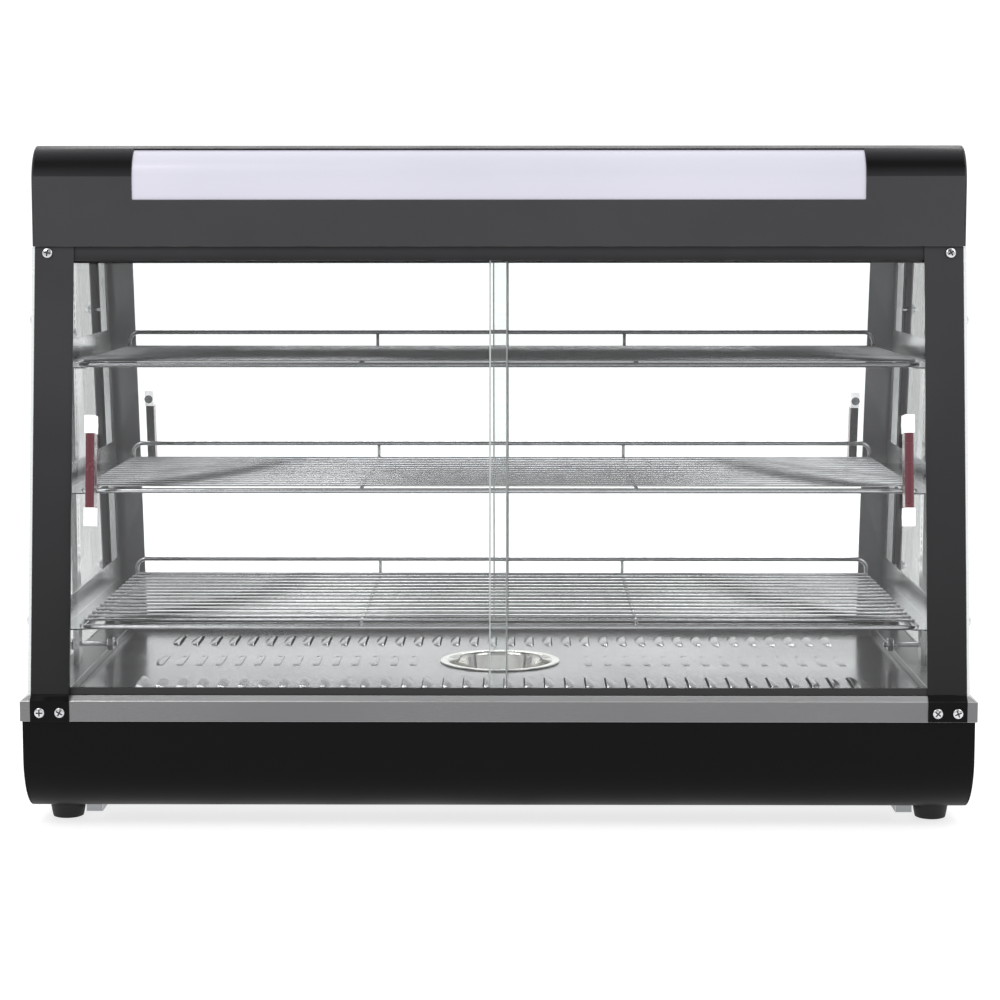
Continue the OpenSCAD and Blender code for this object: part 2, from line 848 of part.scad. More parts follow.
// wire shelf: frame, cross wires, deck wires and a raised guard along the rear
module wire_shelf(i) {
    z = shelf_z[i];
    zf = z - frame_drop;
    zg = z + guard_h;
    hx = shelf_hw - frame_wire/2;
    yf = shelf_y0[i] + frame_wire/2;
    yr = shelf_y1[i] - frame_wire/2;
    first = yf + deck_inset;
    step = (yr - 8 - first)/(shelf_wires - 1);
    color(CHROME) union() {
        for (y = [yf, yr]) {
            wire_x(-hx, hx, y, zf, frame_wire);
            both_sides() translate([hx, y, zf]) sphere(d = frame_wire, $fn = 24);
        }
        wire_x(-hx, hx, yr, zg, guard_wire);
        both_sides() {
            wire_y(hx, yf, yr, zf, frame_wire);
            wire_z(hx, yr, zf, zg, guard_wire);
            translate([hx, yr, zg]) sphere(d = guard_wire, $fn = 24);
            wire_z(cross_x, yr, zf, zg, cross_wire - 0.5);
            wire_y(cross_x, yf, yr, zf + 0.6, cross_wire);
        }
        for (n = [0 : shelf_wires - 1])
            wire_x(-hx - 1, hx + 1, first + n*step, z - wire_d/2, wire_d);
    }
}

module top_shelf() wire_shelf(0);

module middle_shelf() wire_shelf(1);

module bottom_shelf() wire_shelf(2);

// ---------- doors ----------

// height of a pane's lower edge along the leaning face, above the deck
pane_s0 = 3.2;
pane_s1 = chamber_h/cos(tilt) - 3;

// pane drawn for the right-hand side; d is the depth of its outer surface
module pane(d) {
    low = d == pane_out_d ? pane_s0 : pane_s0 + 1.4;
    color(GLASS) on_front() difference() {
        box(-door_lap/2, pane_hw, d, d + glass_t, low, pane_s1 - 2);
        for (e = [-1, 1])
            translate([handle_x, d - 1, handle_s() + e*end_off]) rotate([-90, 0, 0])
                cylinder(d = 5, h = glass_t + 2);
    }
}

function handle_s() = (handle_z - deck_z)/cos(tilt);
end_len = 17;
end_off = (handle_len - end_len)/2;
end_w = 9.5;
handle_proud = 20;
grip_w = 8.6;
grip_gap = 1.5;

// deep bar with a round nose between the two end blocks, just clear of the glass
module grip(d) {
    len = handle_len - 2*end_len;
    nose = d - handle_proud + 0.5 + grip_w/2;
    color(MAROON) on_front() translate([handle_x, 0, handle_s() - len/2])
        linear_extrude(len) {
            translate([0, nose]) circle(d = grip_w);
            translate([-grip_w/2, nose]) square([grip_w, d - grip_gap - nose]);
        }
}

// end blocks, each with a screw through the glass
module handle_ends(d) {
    on_front() for (e = [-1, 1]) translate([handle_x, 0, handle_s() + e*end_off]) {
        color(WHITE) difference() {
            box(-end_w/2, end_w/2, d - handle_proud, d, -end_len/2, end_len/2);
            translate([0, d + 1, 0]) rotate([90, 0, 0]) cylinder(d = 3.6, h = 13);
        }
        color(CHROME) translate([0, d + glass_t, 0]) rotate([-90, 0, 0]) {
            cylinder(d = 9, h = 2);
            translate([0, 0, -glass_t - 10]) cylinder(d = 3.4, h = glass_t + 10.1);
        }
    }
}

// the right front door runs in the outer groove and the left one in the inner groove
module front_door_right() pane(pane_out_d);

module front_door_left() mirror([1, 0, 0]) pane(pane_in_d);

module rear_door_left() rotate(180) pane(pane_out_d);

module rear_door_right() rotate(180) mirror([1, 0, 0]) pane(pane_in_d);

module front_right_grip() grip(pane_out_d);

module front_left_grip() mirror([1, 0, 0]) grip(pane_in_d);

module rear_left_grip() rotate(180) grip(pane_out_d);

module rear_right_grip() rotate(180) mirror([1, 0, 0]) grip(pane_in_d);

module front_right_handle_ends() handle_ends(pane_out_d);

module front_left_handle_ends() mirror([1, 0, 0]) handle_ends(pane_in_d);

module rear_left_handle_ends() rotate(180) handle_ends(pane_out_d);

module rear_right_handle_ends() rotate(180) mirror([1, 0, 0]) handle_ends(pane_in_d);

base_front_panel();
base_end_panels();
bottom_plate();
rear_panel();
control_tray();
deck_frame();
chamber_floor();
water_pan();
heat_box();
heating_elements();
terminal_block();
wiring_loom();
thermostat_body();
thermostat_bulb();
thermostat_knob();
rocker_housings();
heat_rocker();
light_rocker();
indicator_lamp();
thermometer_case();
thermometer_needle();
thermometer_lens();
cable_gland();
rubber_feet();
underside_brackets();
case_screws();
front_post_left();
front_post_right();
rear_post_left();
rear_post_right();
front_head_rail();
rear_head_rail();
front_lower_track();
rear_lower_track();
side_glass_left();
side_glass_right();
side_fixings();
hood_shell();
hood_ends();
ceiling_panel();
light_panel();
lamp_tube();
lamp_holders();
shelf_standards();
shelf_rails();
top_shelf();
middle_shelf();
bottom_shelf();
front_door_left();
front_door_right();
rear_door_left();
rear_door_right();
front_left_grip();
front_right_grip();
rear_left_grip();
rear_right_grip();
front_left_handle_ends();
front_right_handle_ends();
rear_left_handle_ends();
rear_right_handle_ends();
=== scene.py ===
import json
import math

import bmesh
import bpy
from mathutils import Matrix, Vector

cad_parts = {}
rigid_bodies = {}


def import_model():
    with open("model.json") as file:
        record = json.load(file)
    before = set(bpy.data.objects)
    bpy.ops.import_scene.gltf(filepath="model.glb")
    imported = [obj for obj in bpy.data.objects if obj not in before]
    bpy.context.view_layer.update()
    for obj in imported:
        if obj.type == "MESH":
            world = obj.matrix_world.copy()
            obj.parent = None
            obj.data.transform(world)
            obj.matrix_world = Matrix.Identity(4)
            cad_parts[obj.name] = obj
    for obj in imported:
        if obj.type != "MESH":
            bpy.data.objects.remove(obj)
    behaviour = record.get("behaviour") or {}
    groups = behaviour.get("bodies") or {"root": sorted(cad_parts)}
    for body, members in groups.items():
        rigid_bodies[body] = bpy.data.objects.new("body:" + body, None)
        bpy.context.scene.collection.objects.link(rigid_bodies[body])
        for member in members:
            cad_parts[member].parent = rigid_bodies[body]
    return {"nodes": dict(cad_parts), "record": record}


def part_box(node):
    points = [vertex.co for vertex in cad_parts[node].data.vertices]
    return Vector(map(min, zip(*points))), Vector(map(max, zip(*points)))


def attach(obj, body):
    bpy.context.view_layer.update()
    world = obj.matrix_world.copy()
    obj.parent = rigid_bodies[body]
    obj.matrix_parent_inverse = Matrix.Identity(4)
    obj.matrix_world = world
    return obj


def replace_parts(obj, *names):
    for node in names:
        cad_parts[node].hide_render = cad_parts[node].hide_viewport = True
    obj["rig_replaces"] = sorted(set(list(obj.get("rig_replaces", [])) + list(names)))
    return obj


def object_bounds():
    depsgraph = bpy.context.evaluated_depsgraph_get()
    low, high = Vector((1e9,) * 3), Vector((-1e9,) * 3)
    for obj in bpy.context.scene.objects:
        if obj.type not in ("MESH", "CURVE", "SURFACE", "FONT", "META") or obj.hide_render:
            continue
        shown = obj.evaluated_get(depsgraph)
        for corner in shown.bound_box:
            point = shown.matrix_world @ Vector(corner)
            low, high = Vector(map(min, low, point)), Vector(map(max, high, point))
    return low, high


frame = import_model()
CAD_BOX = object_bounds()
MM = 0.001
SIDES = ("left", "right")
SLOT_OF = {part["node"]: part["material_slot"] for part in frame["record"]["subparts"]}
BODY_OF = {node: body for body, nodes in frame["record"]["behaviour"]["bodies"].items()
           for node in nodes}

# ---------- camera, stage and light ----------

CAMERA_AT = (0.0196, -2.5395, 0.5695)
CAMERA_TURN = (0.1087, -0.0077, 0.0003)  # pitch down, yaw right, roll
FOCAL = 89.17
SENSOR = 36.0
FLOOR_SIZE = 60.0
FLOOR_DROP = 0.2 * MM
# brightness of the room in front of the case, low down and high up, and behind it
FRONT_LOW = 0.85
FRONT_HIGH = 0.35
BACK_WALL = 1.2


def make_camera():
    data = bpy.data.cameras.new("camera")
    data.lens = FOCAL
    data.sensor_width = SENSOR
    data.clip_end = 200
    camera = bpy.data.objects.new("camera", data)
    pitch, yaw, roll = CAMERA_TURN
    turn = (Matrix.Rotation(-yaw, 4, "Z") @ Matrix.Rotation(math.pi / 2 - pitch, 4, "X")
            @ Matrix.Rotation(-roll, 4, "Z"))
    camera.matrix_world = Matrix.Translation(CAMERA_AT) @ turn
    bpy.context.scene.collection.objects.link(camera)
    bpy.context.scene.camera = camera


def soft_light(name, at, towards, size, power, tint=(1, 1, 1)):
    data = bpy.data.lights.new(name, "AREA")
    data.shape = "RECTANGLE"
    data.size, data.size_y = size
    data.energy = power
    data.color = tint
    light = bpy.data.objects.new(name, data)
    aim = Vector(towards) - Vector(at)
    light.matrix_world = Matrix.Translation(at) @ aim.to_track_quat("-Z", "Y").to_matrix().to_4x4()
    bpy.context.scene.collection.objects.link(light)


def make_room():
    """A white room, dimmer on the side that the case faces, above all towards its ceiling."""
    world = bpy.data.worlds.new("studio")
    world.use_nodes = True
    nodes, links = world.node_tree.nodes, world.node_tree.links
    background = nodes["Background"]
    where = nodes.new("ShaderNodeTexCoord")
    parts = nodes.new("ShaderNodeSeparateXYZ")
    links.new(where.outputs["Generated"], parts.inputs[0])

    def fade(axis, start, end, low, high):
        node = nodes.new("ShaderNodeMapRange")
        node.interpolation_type = "SMOOTHSTEP"
        for name, value in (("From Min", start), ("From Max", end), ("To Min", low), ("To Max", high)):
            node.inputs[name].default_value = value
        links.new(parts.outputs[axis], node.inputs["Value"])
        return node.outputs["Result"]

    mix = nodes.new("ShaderNodeMix")
    links.new(fade("Y", -0.8, 0.3, 0, 1), mix.inputs[0])
    links.new(fade("Z", 0.1, 0.55, FRONT_LOW, FRONT_HIGH), mix.inputs[2])
    mix.inputs[3].default_value = BACK_WALL
    links.new(mix.outputs[0], background.inputs["Strength"])
    background.inputs["Color"].default_value = (0.985, 0.99, 1.0, 1)
    bpy.context.scene.world = world


def make_floor():
    bm = bmesh.new()
    bmesh.ops.create_grid(bm, x_segments=2, y_segments=2, size=FLOOR_SIZE / 2)
    mesh = bpy.data.meshes.new("studio_floor")
    bm.to_mesh(mesh)
    bm.free()
    floor = bpy.data.objects.new("studio_floor", mesh)
    floor.location.z = CAD_BOX[0][2] - FLOOR_DROP
    bpy.context.scene.collection.objects.link(floor)
    mat, tools = new_material("floor_paint")
    tools.set(color=(0.4, 0.4, 0.4), specular=0.2, glow=0.75, glow_color=(1, 1, 1))
    tools.roughness(tools.between(tools.noise(3), 0.65, 0.75))
    mesh.materials.append(mat)


# ---------- materials ----------

class Tools:
    """Node helpers for one material."""

    def __init__(self, mat):
        mat.use_nodes = True
        self.nodes, self.links = mat.node_tree.nodes, mat.node_tree.links
        self.nodes.clear()
        out = self.nodes.new("ShaderNodeOutputMaterial")
        self.bsdf = self.nodes.new("ShaderNodeBsdfPrincipled")
        self.links.new(self.bsdf.outputs["BSDF"], out.inputs["Surface"])
        self.where = self.nodes.new("ShaderNodeTexCoord").outputs["Object"]

    def set(self, **values):
        names = {"metallic": "Metallic", "roughness": "Roughness", "ior": "IOR",
                 "specular": "Specular IOR Level", "transmission": "Transmission Weight",
                 "coat": "Coat Weight", "coat_roughness": "Coat Roughness",
                 "anisotropic": "Anisotropic", "glow": "Emission Strength"}
        for key, value in values.items():
            if key == "color":
                self.bsdf.inputs["Base Color"].default_value = (*value, 1)
            elif key == "glow_color":
                self.bsdf.inputs["Emission Color"].default_value = (*value, 1)
            else:
                self.bsdf.inputs[names[key]].default_value = value

    def noise(self, scale, stretch=(1, 1, 1), detail=3.0):
        """Noise from 0 to 1 over the piece; stretch multiplies the scale along each axis."""
        mapping = self.nodes.new("ShaderNodeMapping")
        mapping.inputs["Scale"].default_value = stretch
        self.links.new(self.where, mapping.inputs["Vector"])
        noise = self.nodes.new("ShaderNodeTexNoise")
        noise.inputs["Scale"].default_value = scale
        noise.inputs["Detail"].default_value = detail
        self.links.new(mapping.outputs["Vector"], noise.inputs["Vector"])
        return noise.outputs["Fac"]

    def height(self):
        """0 at the bottom of the piece's box and 1 at its top."""
        split = self.nodes.new("ShaderNodeSeparateXYZ")
        self.links.new(self.nodes.new("ShaderNodeTexCoord").outputs["Generated"], split.inputs[0])
        return split.outputs["Z"]

    def between(self, value, low, high, start=0.3, end=0.7):
        """Maps value's start to end onto low to high."""
        node = self.nodes.new("ShaderNodeMapRange")
        for name, number in (("From Min", start), ("From Max", end), ("To Min", low), ("To Max", high)):
            node.inputs[name].default_value = number
        self.links.new(value, node.inputs["Value"])
        return node.outputs["Result"]

    def times(self, a, b):
        node = self.nodes.new("ShaderNodeMath")
        node.operation = "MULTIPLY"
        self.links.new(a, node.inputs[0])
        self.links.new(b, node.inputs[1])
        return node.outputs[0]

    def plus(self, a, b):
        node = self.nodes.new("ShaderNodeMath")
        node.operation = "ADD"
        self.links.new(a, node.inputs[0])
        self.links.new(b, node.inputs[1])
        return node.outputs[0]

    def blend(self, share, low, high):
        """A colour from low to high by share; either may be a colour or another output."""
        node = self.nodes.new("ShaderNodeMix")
        node.data_type = "RGBA"
        self.links.new(share, node.inputs["Factor"])
        for name, colour in (("A", low), ("B", high)):
            socket = [s for s in node.inputs if s.name == name and s.type == "RGBA"][0]
            if isinstance(colour, tuple):
                socket.default_value = (*colour, 1)
            else:
                self.links.new(colour, socket)
        return [s for s in node.outputs if s.type == "RGBA"][0]

    def edges(self):
        """1 on the rounded edges that round_edges() made, and 0 elsewhere."""
        node = self.nodes.new("ShaderNodeAttribute")
        node.attribute_name = EDGE
        return node.outputs["Fac"]

    def colour(self, output):
        self.links.new(output, self.bsdf.inputs["Base Color"])

    def roughness(self, output):
        self.links.new(output, self.bsdf.inputs["Roughness"])

    def bump(self, height, strength, distance):
        node = self.nodes.new("ShaderNodeBump")
        node.inputs["Strength"].default_value = strength
        node.inputs["Distance"].default_value = distance
        self.links.new(height, node.inputs["Height"])
        self.links.new(node.outputs["Normal"], self.bsdf.inputs["Normal"])


EDGE = "rounded_edge"
# parts of a piece's height over which the painted shade band of a roll sets in and fades out
ROLL_RISE = (0.62, 0.79)
ROLL_FALL = (0.83, 0.99)


def new_material(name):
    mat = bpy.data.materials.new(name)
    return mat, Tools(mat)


def powder_coat(name, colour, specular, worn, painted_low_shade=None, painted_roll_shade=None):
    """Satin powder coat: fine orange peel, soft gloss patches and lighter rubbed edges.
    With a low colour, it deepens to that colour towards the piece's lower end, as painted shade.
    With a roll colour, it deepens to that colour in a soft band near the piece's top, as painted shade."""
    mat, t = new_material(name)
    t.set(specular=specular)
    patches = t.noise(9, detail=4)
    rub = t.times(t.edges(), t.between(t.noise(60), 0, 1, 0.35, 0.65))
    shade = tuple(c * 0.86 for c in colour)
    body = t.blend(t.between(patches, 0, 1), shade, colour)
    # painted shade: darker towards the piece's lower end
    if painted_low_shade:
        body = t.blend(t.between(t.height(), 0, 1, 0, 0.8), painted_low_shade, body)
    # painted shade: a dark band near the top of a roll
    if painted_roll_shade:
        rise = t.between(t.height(), 0, 1, *ROLL_RISE)
        body = t.blend(t.times(rise, t.between(t.height(), 1, 0, *ROLL_FALL)), body, painted_roll_shade)
    t.colour(t.blend(rub, body, worn))
    t.roughness(t.between(t.plus(patches, t.between(t.noise(700), -0.06, 0.06)), 0.36, 0.5))
    t.bump(t.noise(1500, detail=2), 0.12, 0.1 * MM)
    return mat


def brushed_steel(name, colour, rough, along, deep=0.25):
    """Stainless sheet brushed along one axis, with faint smears."""
    mat, t = new_material(name)
    t.set(metallic=1.0)
    stretch = tuple(0.02 if axis == along else 1 for axis in "xyz")
    streaks = t.noise(2600, stretch, detail=2)
    smears = t.noise(7, detail=5)
    shade = tuple(c * 0.92 for c in colour)
    # painted highlight: the rounded edges are painted brighter than the sheet
    bright = tuple(min(0.9, c * 2) for c in colour)
    t.colour(t.blend(t.edges(), t.blend(t.between(streaks, 0, 1), shade, colour), bright))
    base = t.between(smears, rough * 0.75, rough * 1.3)
    t.roughness(t.plus(base, t.between(streaks, -0.05, 0.05)))
    t.bump(streaks, deep, 0.03 * MM)
    return mat


def plated_wire(name, colour, rough):
    """Bright plating with a little waviness and dull spots."""
    mat, t = new_material(name)
    t.set(metallic=1.0)
    spots = t.noise(45, detail=4)
    shade = tuple(c * 0.8 for c in colour)
    t.colour(t.blend(t.between(spots, 0, 1, 0.5, 0.75), colour, shade))
    t.roughness(t.between(spots, rough * 0.6, rough * 1.8))
    t.bump(t.noise(260, detail=2), 0.08, 0.15 * MM)
    return mat


def moulded(name, colour, rough, grain=1200, specular=0.5, coat=0.0, glow=0.0):
    """Moulded plastic or rubber with a fine grain and rubbed, paler edges."""
    mat, t = new_material(name)
    t.set(specular=specular, coat=coat, coat_roughness=0.15, glow=glow, glow_color=colour)
    tone = t.noise(30, detail=3)
    worn = tuple(min(1, c * 1.35 + 0.01) for c in colour)
    shade = tuple(c * 0.9 for c in colour)
    rub = t.times(t.edges(), t.between(t.noise(90), 0, 0.8, 0.4, 0.7))
    t.colour(t.blend(rub, t.blend(t.between(tone, 0, 1), shade, colour), worn))
    t.roughness(t.between(tone, rough * 0.85, rough * 1.15))
    t.bump(t.noise(grain, detail=2), 0.15, 0.08 * MM)
    return mat


def clear_glass(name, tint):
    """Float glass; only faint smears change how it shines."""
    mat, t = new_material(name)
    t.set(transmission=1.0, ior=1.47, color=tint)
    t.roughness(t.between(t.noise(5, detail=5), 0.0, 0.02, 0.45, 0.75))
    return mat


def ground_edge(name, dark, light):
    """The ground edge of a pane, slightly frosted."""
    mat, t = new_material(name)
    t.set(specular=0.6)
    grind = t.noise(900, (0.2, 0.2, 1), detail=2)
    t.colour(t.blend(t.between(grind, 0, 1), dark, light))
    t.roughness(t.between(grind, 0.22, 0.42))
    return mat


def diffusing_acrylic(name):
    """White acrylic of the sign panel, softly lit from behind."""
    mat, t = new_material(name)
    t.set(coat=0.35, coat_roughness=0.12, glow=0.1, glow_color=(0.86, 0.85, 1.0))
    cloud = t.noise(4, detail=2)
    t.colour(t.blend(t.between(cloud, 0, 1), (0.50, 0.49, 0.56), (0.54, 0.53, 0.60)))
    t.roughness(t.between(t.noise(200), 0.28, 0.36))
    return mat


def make_materials():
    grey = (0.62, 0.62, 0.63)
    return {
        # hood_coat, post_coat and base_coat stand for one black powder coat; their differing darkness is
        # partly painted shade
        "hood_coat": powder_coat("hood_coat", (0.037, 0.037, 0.040), 0.3, (0.06, 0.06, 0.06)),
        # painted shade: a darker copy of the hood coat for the roll, with a painted shade band near its top
        "roll_painted_shade_coat": powder_coat("roll_painted_shade_coat", (0.042, 0.042, 0.045), 0.06, (0.06, 0.06, 0.06),
                                 painted_roll_shade=(0.004, 0.004, 0.0045)),
        # painted shade: darker towards each piece's lower end
        "post_coat": powder_coat("post_coat", (0.027, 0.027, 0.030), 0.35, (0.05, 0.05, 0.05),
                                 painted_low_shade=(0.001, 0.001, 0.0015)),
        # painted light: a paler copy of the black coat for the rear posts' inner sides
        "inner_painted_light_coat": powder_coat("inner_painted_light_coat", (0.28, 0.27, 0.29), 0.4, (0.3, 0.3, 0.3)),
        "base_coat": powder_coat("base_coat", (0.003, 0.003, 0.0035), 0.09, (0.02, 0.02, 0.02)),
        "deck_steel": brushed_steel("deck_steel", (0.19, 0.187, 0.192), 0.3, "x", 0.1),
        # painted light: a lighter copy of the deck steel for the deck's upward-facing ledge
        "ledge_painted_light_steel": brushed_steel("ledge_painted_light_steel", (0.36, 0.36, 0.362), 0.3, "x", 0.05),
        "floor_steel": brushed_steel("floor_steel", (0.325, 0.315, 0.325), 0.19, "x", 0.05),
        "pan_steel": brushed_steel("pan_steel", (0.70, 0.69, 0.66), 0.1, "z", 0.1),
        "rail_steel": brushed_steel("rail_steel", grey, 0.2, "z", 0.12),
        "zinc": brushed_steel("zinc", (0.34, 0.35, 0.36), 0.38, "y", 0.1),
        "sheath": brushed_steel("sheath", (0.18, 0.17, 0.16), 0.5, "x"),
        "pressed_case": brushed_steel("pressed_case", (0.55, 0.55, 0.53), 0.4, "z"),
        "copper": plated_wire("copper", (0.72, 0.40, 0.25), 0.3),
        "chrome": plated_wire("chrome", (0.48, 0.48, 0.49), 0.12),
        # painted shade: a darker copy of the chrome for the top shelf
        "painted_shade_chrome": plated_wire("painted_shade_chrome", (0.22, 0.22, 0.23), 0.14),
        "screw_chrome": plated_wire("screw_chrome", (0.66, 0.66, 0.68), 0.16),
        "black_plastic": moulded("black_plastic", (0.022, 0.022, 0.024), 0.45),
        "track_plastic": moulded("track_plastic", (0.012, 0.012, 0.012), 0.4),
        "rubber": moulded("rubber", (0.012, 0.012, 0.012), 0.62, 800, 0.3),
        "wire_sleeve": moulded("wire_sleeve", (0.04, 0.04, 0.045), 0.55),
        "ceramic": moulded("ceramic", (0.80, 0.77, 0.68), 0.6, 600),
        "red_plastic": moulded("red_plastic", (0.55, 0.02, 0.015), 0.22, coat=0.4),
        "green_plastic": moulded("green_plastic", (0.02, 0.30, 0.07), 0.22, coat=0.4),
        "amber_lens": moulded("amber_lens", (0.85, 0.30, 0.02), 0.15, coat=0.6),
        "needle_red": moulded("needle_red", (0.6, 0.02, 0.015), 0.4),
        # painted light: the white blocks glow, though they are no lamp
        "white_plastic": moulded("white_plastic", (0.93, 0.92, 0.93), 0.3, 900, coat=0.2, glow=0.45),
        "grip_back": moulded("grip_back", (0.11, 0.10, 0.11), 0.4, 700),
        "maroon_grip": moulded("maroon_grip", (0.11, 0.010, 0.021), 0.28, 700, coat=0.5),
        "dial_white": moulded("dial_white", (0.86, 0.86, 0.84), 0.4),
        "dial_black": moulded("dial_black", (0.01, 0.01, 0.01), 0.4),
        "lamp_glass": moulded("lamp_glass", (0.88, 0.88, 0.86), 0.25, coat=0.3),
        "clear_glass": clear_glass("clear_glass", (0.985, 0.998, 0.993)),
        "door_edge": ground_edge("door_edge", (0.40, 0.43, 0.43), (0.46, 0.48, 0.48)),
        "side_edge": ground_edge("side_edge", (0.68, 0.71, 0.70), (0.72, 0.74, 0.735)),
        "lit_acrylic": diffusing_acrylic("lit_acrylic"),
    }


# which material a slot shows, unless a piece asks for another
SLOT_LOOK = {"painted_black": "base_coat", "stainless": "deck_steel", "galvanised": "zinc",
             "element_sheath": "sheath", "switch_metal": "pressed_case"}


# ---------- mesh helpers ----------

WELD = 0.005 * MM
FINE_WELD = 0.001 * MM


def welded(node):
    """A CAD node's mesh with its vertices joined."""
    bm = bmesh.new()
    bm.from_mesh(frame["nodes"][node].data)
    bmesh.ops.remove_doubles(bm, verts=bm.verts, dist=WELD)
    return bm


def cad_mesh(node):
    """A CAD node's mesh with its vertices joined and its flat faces whole."""
    bm = welded(node)
    bmesh.ops.dissolve_limit(bm, angle_limit=math.radians(0.6), verts=bm.verts, edges=bm.edges)
    return bm


def separate(bm):
    """The mesh's vertices, in a list for each solid."""
    solids, seen = [], set()
    for seed in bm.verts:
        if seed in seen:
            continue
        seen.add(seed)
        solid = [seed]
        for vert in solid:
            for edge in vert.link_edges:
                other = edge.other_vert(vert)
                if other not in seen:
                    seen.add(other)
                    solid.append(other)
        solids.append(solid)
    return solids


def box_of(verts):
    """The lowest and the highest corner of the box around the vertices."""
    return (Vector([min(v.co[i] for v in verts) for i in range(3)]),
            Vector([max(v.co[i] for v in verts) for i in range(3)]))


def round_edges(bm, width, segments=2, angle=34, shortest=0.0):
    """Rounds the edges sharper than angle and longer than shortest, and marks the new faces."""
    mark = bm.faces.layers.float.get(EDGE) or bm.faces.layers.float.new(EDGE)
    sharp = [e for e in bm.edges if len(e.link_faces) == 2 and e.calc_length() > shortest
             and e.calc_face_angle(0) > math.radians(angle)]
    made = bmesh.ops.bevel(bm, geom=sharp, offset=width, offset_type="OFFSET", affect="EDGES",
                           segments=segments, profile=0.5, clamp_overlap=True)
    for face in made["faces"]:
        face[mark] = 1.0
    return bm


def add_box(bm, low, high):
    size = Vector(high) - Vector(low)
    middle = (Vector(high) + Vector(low)) / 2
    turn = Matrix.Translation(middle) @ Matrix.Diagonal((*size, 1))
    return bmesh.ops.create_cube(bm, size=1, matrix=turn)["verts"]


def add_lathe(bm, profile, steps, place=Matrix()):
    """Turns (radius, height) points around the place's Z; both ends close on the axis."""
    rings = []
    for radius, height in profile:
        if radius < 1e-7:
            rings.append([bm.verts.new(place @ Vector((0, 0, height)))])
        else:
            rings.append([bm.verts.new(place @ Vector((radius * math.cos(a), radius * math.sin(a), height)))
                          for a in (2 * math.pi * i / steps for i in range(steps))])
    for low, high in zip(rings, rings[1:]):
        for i in range(steps):
            j = (i + 1) % steps
            corners = [low[i % len(low)], low[j % len(low)], high[j % len(high)], high[i % len(high)]]
            unique = list(dict.fromkeys(corners))
            if len(unique) > 2:
                bm.faces.new(unique)


def rounded_path(points, radius, steps=6):
    """The points with each inner corner replaced by an arc of that radius."""
    points = [Vector(p) for p in points]
    path = [points[0]]
    for before, corner, after in zip(points, points[1:], points[2:]):
        back, on = (before - corner).normalized(), (after - corner).normalized()
        half = back.angle(on) / 2
        reach = radius / math.tan(half)
        centre = corner + (back + on).normalized() * (radius / math.sin(half))
        start, end = corner + back * reach, corner + on * reach
        a, b = (start - centre).normalized(), (end - centre).normalized()
        for i in range(steps + 1):
            path.append(centre + a.slerp(b, i / steps) * radius)
    path.append(points[-1])
    return path


def add_tube(bm, path, radius, sides=12, closed=False):
    """A round wire along the path, with domed ends unless it closes on itself."""
    count = len(path)
    if closed:
        ways = [(path[(i + 1) % count] - path[i - 1]).normalized() for i in range(count)]
    else:
        ways = [(path[min(i + 1, count - 1)] - path[max(i - 1, 0)]).normalized() for i in range(count)]
    up = ways[0].orthogonal().normalized()
    stations = []
    for way, point in zip(ways, path):
        up = (up - way * up.dot(way)).normalized()
        stations.append((point, up.copy(), way.cross(up), 1.0))
    if not closed:
        first, last = stations[0], stations[-1]
        domes = [(0.0, 0.45), (0.7, 0.3), (1.0, 0.0)]
        head = [(first[0] - ways[0] * radius * out, first[1], first[2], share)
                for share, out in domes[:2]]
        tail = [(last[0] + ways[-1] * radius * out, last[1], last[2], share)
                for share, out in reversed(domes[:2])]
        stations = head + stations + tail
    rings = []
    for point, side, other, share in stations:
        if share == 0.0:
            rings.append([bm.verts.new(point)])
            continue
        rings.append([bm.verts.new(point + (side * math.cos(a) + other * math.sin(a)) * radius * share)
                      for a in (2 * math.pi * i / sides for i in range(sides))])
    pairs = list(zip(rings, rings[1:])) + ([(rings[-1], rings[0])] if closed else [])
    for low, high in pairs:
        for i in range(sides):
            j = (i + 1) % sides
            corners = [low[i % len(low)], low[j % len(low)], high[j % len(high)], high[i % len(high)]]
            unique = list(dict.fromkeys(corners))
            bm.faces.new(unique)


def carve(bm, cutters):
    """Cuts one mesh by another, with a boolean that is applied at once."""
    made = []
    for name, source in (("carve_body", bm), ("carve_tool", cutters)):
        bmesh.ops.recalc_face_normals(source, faces=source.faces)
        mesh = bpy.data.meshes.new(name)
        source.to_mesh(mesh)
        source.free()
        obj = bpy.data.objects.new(name, mesh)
        bpy.context.scene.collection.objects.link(obj)
        made.append(obj)
    cut = made[0].modifiers.new("cut", "BOOLEAN")
    cut.operation = "DIFFERENCE"
    cut.solver = "EXACT"
    cut.object = made[1]
    graph = bpy.context.evaluated_depsgraph_get()
    result = bmesh.new()
    result.from_mesh(made[0].evaluated_get(graph).data)
    for obj in made:
        mesh = obj.data
        bpy.data.objects.remove(obj)
        bpy.data.meshes.remove(mesh)
    return result


def place(bm, name, look, *nodes, body=None, slot=None, smooth=40, weigh=True):
    """Turns a mesh into a visible piece that rides with, and stands for, CAD nodes."""
    bmesh.ops.recalc_face_normals(bm, faces=bm.faces)
    mesh = bpy.data.meshes.new(name)
    bm.to_mesh(mesh)
    bm.free()
    for face in mesh.polygons:
        face.use_smooth = True
    mesh.set_sharp_from_angle(angle=math.radians(smooth))
    obj = bpy.data.objects.new(name, mesh)
    bpy.context.scene.collection.objects.link(obj)
    for material in (look if isinstance(look, list) else [look]):
        mesh.materials.append(LOOKS[material])
    if weigh:
        normals = obj.modifiers.new("even_shading", "WEIGHTED_NORMAL")
        normals.keep_sharp = True
    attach(obj, body or BODY_OF[nodes[0]])
    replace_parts(obj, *nodes)
    return obj


def dress(node, look, width, segments=2):
    """Replaces a CAD node by the same shape with rounded edges."""
    place(round_edges(cad_mesh(node), width * MM, segments), node + "_skin", look, node)


# ---------- hood and posts ----------

